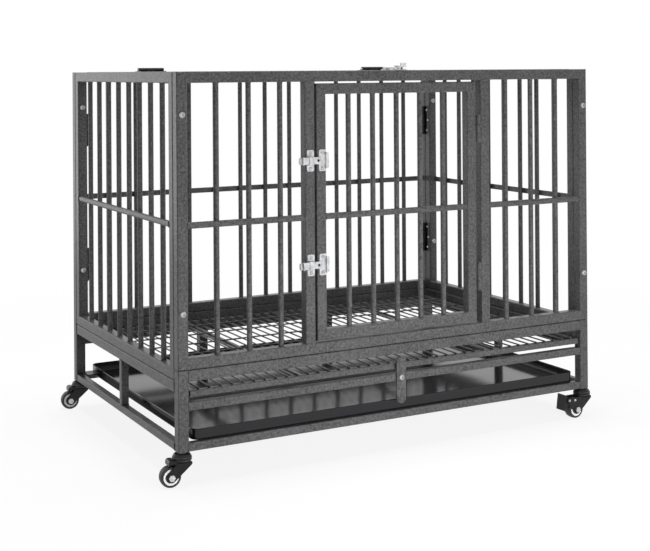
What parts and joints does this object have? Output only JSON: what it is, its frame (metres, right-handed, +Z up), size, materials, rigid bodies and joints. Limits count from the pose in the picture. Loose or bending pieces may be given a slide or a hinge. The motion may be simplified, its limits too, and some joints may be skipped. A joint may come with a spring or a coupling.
{
  "type": "heavy duty dog crate",
  "caption": "Wheeled dog crate of square steel tube and round bars, with a latched front door, hinged lid, wire floor grid and a slide-out tray under it.",
  "frame": {"origin": "on the floor, under the middle of the panels' outer faces", "axes": "+X to the right seen from the door, +Y to the back, +Z up"},
  "size_m": [0.9591, 0.6342, 0.7434],
  "materials": {
    "hammered_paint": "dark grey hammered enamel, semi-gloss",
    "black_steel": "black enamel, semi-gloss",
    "zinc_plate": "bright zinc plate",
    "tray_gloss": "glossy black",
    "white_nylon": "moulded, satin",
    "tyre_rubber": "matt dark grey"
  },
  "bodies": {
    "root": {"base_posts": "hammered_paint", "base_bottom_rails": "hammered_paint", "base_upper_rails": "hammered_paint", "base_mid_rails": "hammered_paint", "base_mid_posts": "hammered_paint", "front_panel_frame": "hammered_paint", "front_panel_bars": "hammered_paint", "left_panel_frame": "hammered_paint", "left_panel_bars": "hammered_paint", "right_panel_frame": "hammered_paint", "right_panel_bars": "hammered_paint", "back_panel_frame": "hammered_paint", "back_panel_bars": "hammered_paint", "panel_rods": "hammered_paint", "lid_stops": "hammered_paint", "support_angles": "hammered_paint", "grid_frame": "hammered_paint", "grid_wires": "hammered_paint", "corner_hinge_leaves": "black_steel", "door_hinge_sockets": "black_steel", "lid_hinge_back_leaves": "black_steel", "frame_bolts": "zinc_plate", "corner_hinge_rivets": "zinc_plate", "hinge_pins": "zinc_plate", "latch_plates": "zinc_plate", "latch_rivets": "zinc_plate", "caster_stems": "zinc_plate"},
    "front_door": {"door_frame": "hammered_paint", "door_bars": "hammered_paint", "door_rod": "hammered_paint", "door_hinge_barrels": "black_steel", "door_latch_tongues": "zinc_plate", "door_latch_rivets": "zinc_plate"},
    "lid": {"lid_frame": "hammered_paint", "lid_bars": "hammered_paint", "lid_hinge_leaves": "black_steel", "lid_latch_tongue": "zinc_plate"},
    "door_catch_lower": {"door_catch_lower": "zinc_plate"},
    "door_catch_upper": {"door_catch_upper": "zinc_plate"},
    "lid_catch": {"lid_catch": "zinc_plate"},
    "turn_bar": {"turn_bar": "hammered_paint"},
    "tray": {"tray": "tray_gloss"},
    "caster_front_left": {"fork_front_left": "black_steel", "axle_front_left": "zinc_plate"},
    "wheel_front_left": {"hub_front_left": "white_nylon", "tyre_front_left": "tyre_rubber"},
    "caster_front_right": {"fork_front_right": "black_steel", "axle_front_right": "zinc_plate"},
    "wheel_front_right": {"hub_front_right": "white_nylon", "tyre_front_right": "tyre_rubber"},
    "brake_front_right": {"brake_front_right": "black_steel"},
    "caster_back_left": {"fork_back_left": "black_steel", "axle_back_left": "zinc_plate"},
    "wheel_back_left": {"hub_back_left": "white_nylon", "tyre_back_left": "tyre_rubber"},
    "caster_back_right": {"fork_back_right": "black_steel", "axle_back_right": "zinc_plate"},
    "wheel_back_right": {"hub_back_right": "white_nylon", "tyre_back_right": "tyre_rubber"},
    "brake_back_right": {"brake_back_right": "black_steel"}
  },
  "joints": [
    {"name": "door_hinge", "type": "hinge", "parent": "root", "child": "front_door", "pos_m": [0.1835, -0.306, 0.462], "axis": [0, 0, 1], "range_deg": [0, 170]},
    {"name": "lid_hinge", "type": "hinge", "parent": "root", "child": "lid", "pos_m": [0, 0.284, 0.7335], "axis": [-1, 0, 0], "range_deg": [0, 190]},
    {"name": "door_catch_lower_slide", "type": "slide", "parent": "root", "child": "door_catch_lower", "axis": [1, 0, 0], "range_m": [0, 0.01]},
    {"name": "door_catch_upper_slide", "type": "slide", "parent": "root", "child": "door_catch_upper", "axis": [1, 0, 0], "range_m": [0, 0.01]},
    {"name": "lid_catch_slide", "type": "slide", "parent": "root", "child": "lid_catch", "axis": [0, 1, 0], "range_m": [0, 0.01]},
    {"name": "turn_bar_pivot", "type": "hinge", "parent": "root", "child": "turn_bar", "pos_m": [-0.003, -0.306, 0.139], "axis": [0, 1, 0], "range_deg": [-90, 90]},
    {"name": "tray_slide", "type": "slide", "parent": "root", "child": "tray", "axis": [0, -1, 0], "range_m": [0, 0.5]},
    {"name": "swivel_front_left", "type": "hinge", "parent": "root", "child": "caster_front_left", "pos_m": [-0.45, -0.296, 0.045], "axis": [0, 0, 1], "continuous": true},
    {"name": "roll_front_left", "type": "hinge", "parent": "caster_front_left", "child": "wheel_front_left", "pos_m": [-0.47192, -0.29408, 0.019], "axis": [0.0872, 0.9962, 0], "continuous": true},
    {"name": "swivel_front_right", "type": "hinge", "parent": "root", "child": "caster_front_right", "pos_m": [0.45, -0.296, 0.045], "axis": [0, 0, 1], "continuous": true},
    {"name": "roll_front_right", "type": "hinge", "parent": "caster_front_right", "child": "wheel_front_right", "pos_m": [0.42801, -0.29677, 0.019], "axis": [-0.0349, 0.9994, 0], "continuous": true},
    {"name": "brake_front_right_pedal", "type": "hinge", "parent": "caster_front_right", "child": "brake_front_right", "pos_m": [0.40703, -0.2975, 0.04], "axis": [0.0349, -0.9994, 0], "range_deg": [0, 20]},
    {"name": "swivel_back_left", "type": "hinge", "parent": "root", "child": "caster_back_left", "pos_m": [-0.45, 0.296, 0.045], "axis": [0, 0, 1], "continuous": true},
    {"name": "roll_back_left", "type": "hinge", "parent": "caster_back_left", "child": "wheel_back_left", "pos_m": [-0.47188, 0.2983, 0.019], "axis": [0.1045, 0.9945, 0], "continuous": true},
    {"name": "swivel_back_right", "type": "hinge", "parent": "root", "child": "caster_back_right", "pos_m": [0.45, 0.296, 0.045], "axis": [0, 0, 1], "continuous": true},
    {"name": "roll_back_right", "type": "hinge", "parent": "caster_back_right", "child": "wheel_back_right", "pos_m": [0.42808, 0.29792, 0.019], "axis": [0.0872, 0.9962, 0], "continuous": true},
    {"name": "brake_back_right_pedal", "type": "hinge", "parent": "caster_back_right", "child": "brake_back_right", "pos_m": [0.40716, 0.29975, 0.04], "axis": [-0.0872, -0.9962, 0], "range_deg": [0, 20]}
  ]
}
